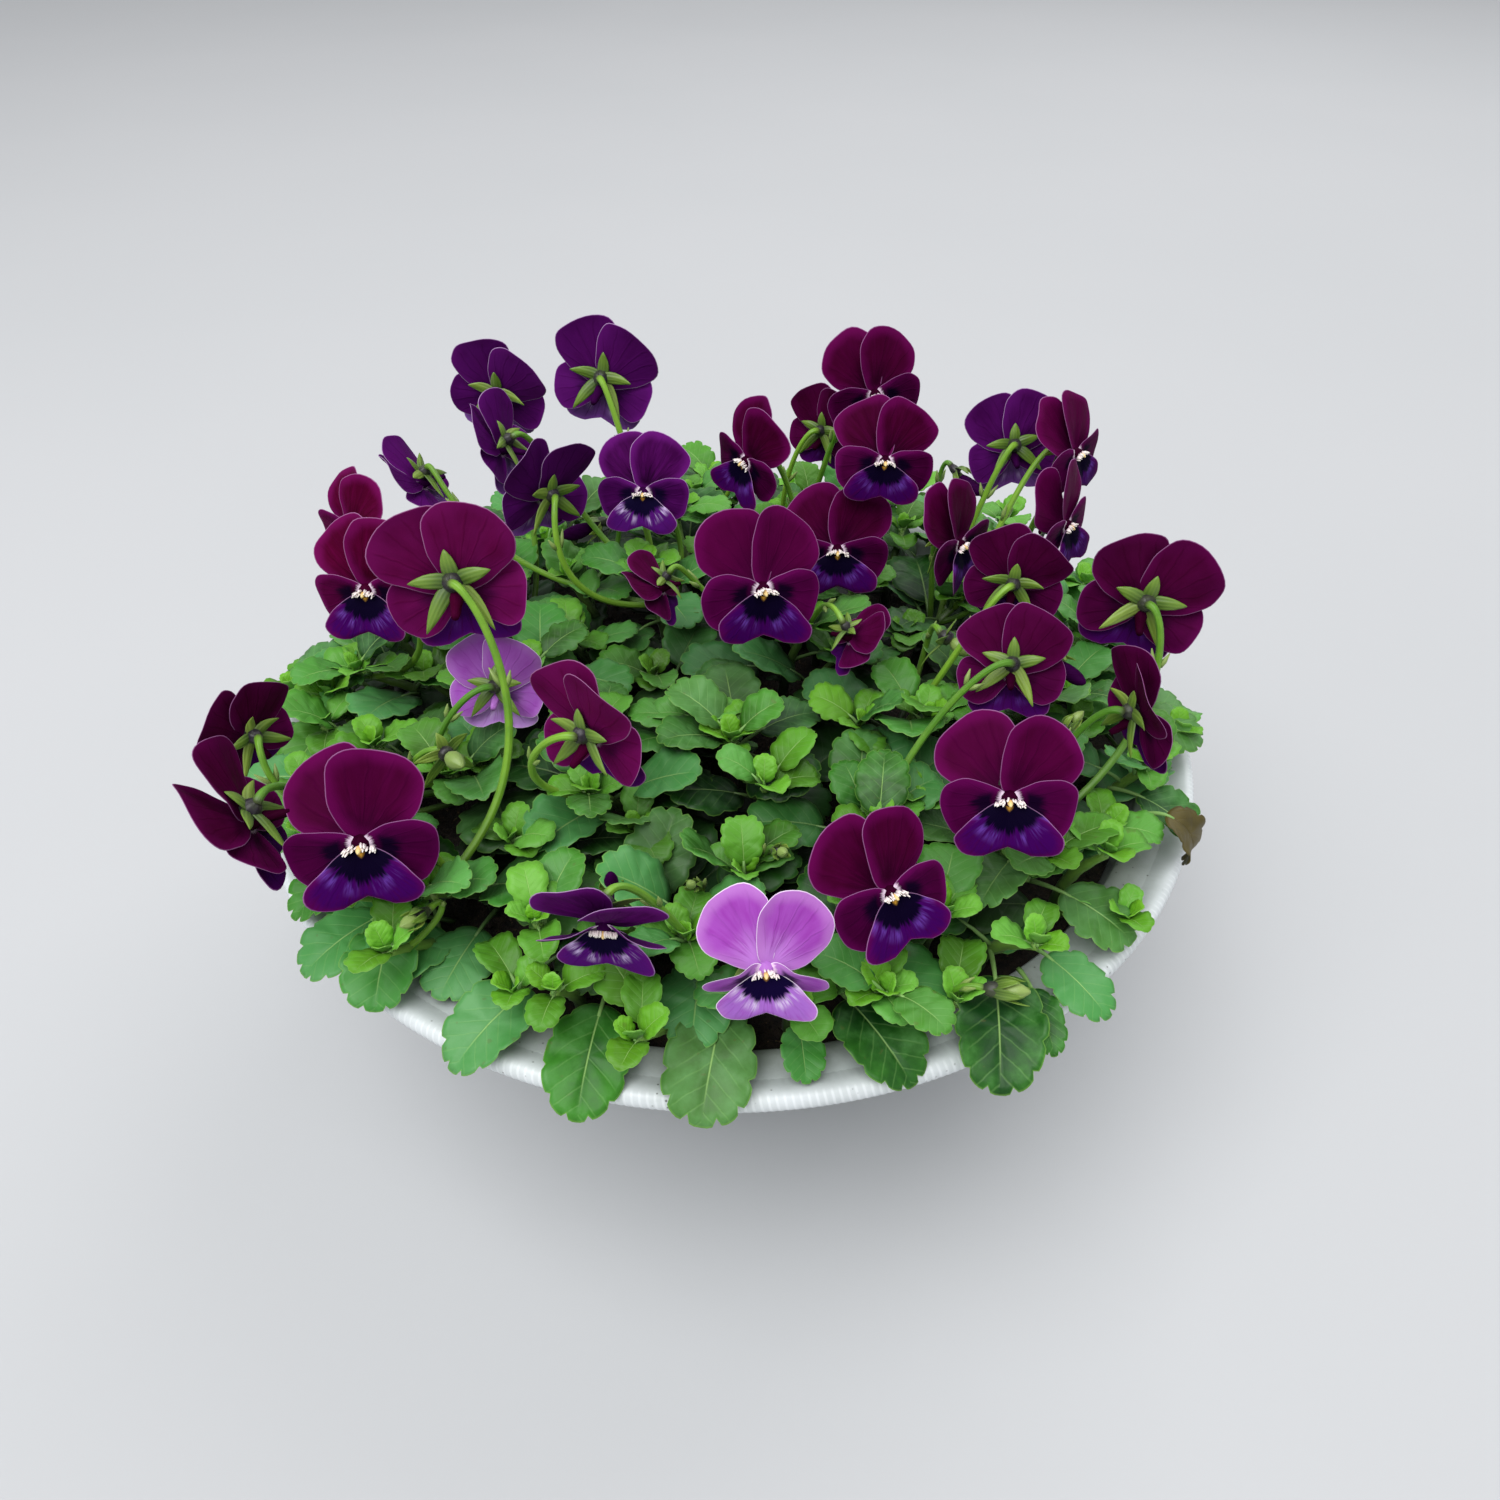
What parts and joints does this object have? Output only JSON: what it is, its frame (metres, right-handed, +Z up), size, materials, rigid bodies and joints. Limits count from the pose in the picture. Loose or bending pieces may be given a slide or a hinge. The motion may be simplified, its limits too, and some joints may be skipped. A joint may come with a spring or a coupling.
{
  "type": "potted horned violet",
  "caption": "Horned violet with wine-purple and violet flowers above crinkled green leaves, growing in a wide light-grey plastic bowl planter.",
  "frame": {"origin": "centre of the planter's flat bottom, on the ground", "axes": "+Z up along the planter's axis; -Y towards the viewer's side, where the front flowers lean; +X to the viewer's right"},
  "size_m": [0.27, 0.27, 0.1952],
  "materials": {
    "pot": "satin",
    "soil": "matte",
    "foliage": "satin",
    "petals_wine": "matte",
    "petals_magenta": "matte",
    "petals_violet": "matte",
    "petals_lavender": "matte"
  },
  "bodies": {
    "root": {"pot": "pot", "soil": "soil", "shoot_01": "foliage", "shoot_02": "foliage", "shoot_03": "foliage", "shoot_04": "foliage", "shoot_05": "foliage", "shoot_06": "foliage", "shoot_07": "foliage", "shoot_08": "foliage", "shoot_09": "foliage", "shoot_10": "foliage", "shoot_11": "foliage", "shoot_12": "foliage", "shoot_13": "foliage", "shoot_14": "foliage", "shoot_15": "foliage", "shoot_16": "foliage", "shoot_17": "foliage", "shoot_18": "foliage", "shoot_19": "foliage", "shoot_20": "foliage", "shoot_21": "foliage", "shoot_22": "foliage", "shoot_23": "foliage", "shoot_24": "foliage", "bloom_01": "petals_violet", "bloom_02": "petals_violet", "bloom_03": "petals_violet", "bloom_04": "petals_violet", "bloom_05": "petals_violet", "bloom_06": "petals_wine", "bloom_07": "petals_wine", "bloom_08": "petals_wine", "bloom_09": "petals_wine", "bloom_10": "petals_wine", "bloom_11": "petals_wine", "bloom_12": "petals_wine", "bloom_13": "petals_violet", "bloom_14": "petals_wine", "bloom_15": "petals_wine", "bloom_16": "petals_wine", "bloom_17": "petals_wine", "bloom_18": "petals_wine", "bloom_19": "petals_wine", "bloom_20": "petals_wine", "bloom_21": "petals_wine", "bloom_22": "petals_lavender", "bloom_23": "petals_violet", "bloom_24": "petals_magenta", "bloom_25": "petals_wine", "bloom_26": "petals_wine", "bloom_27": "petals_wine", "bloom_28": "petals_magenta", "bloom_29": "petals_magenta", "bloom_30": "petals_magenta", "bloom_31": "petals_violet", "bloom_32": "petals_lavender", "bloom_33": "petals_wine", "bloom_34": "petals_wine"}
  },
  "joints": []
}
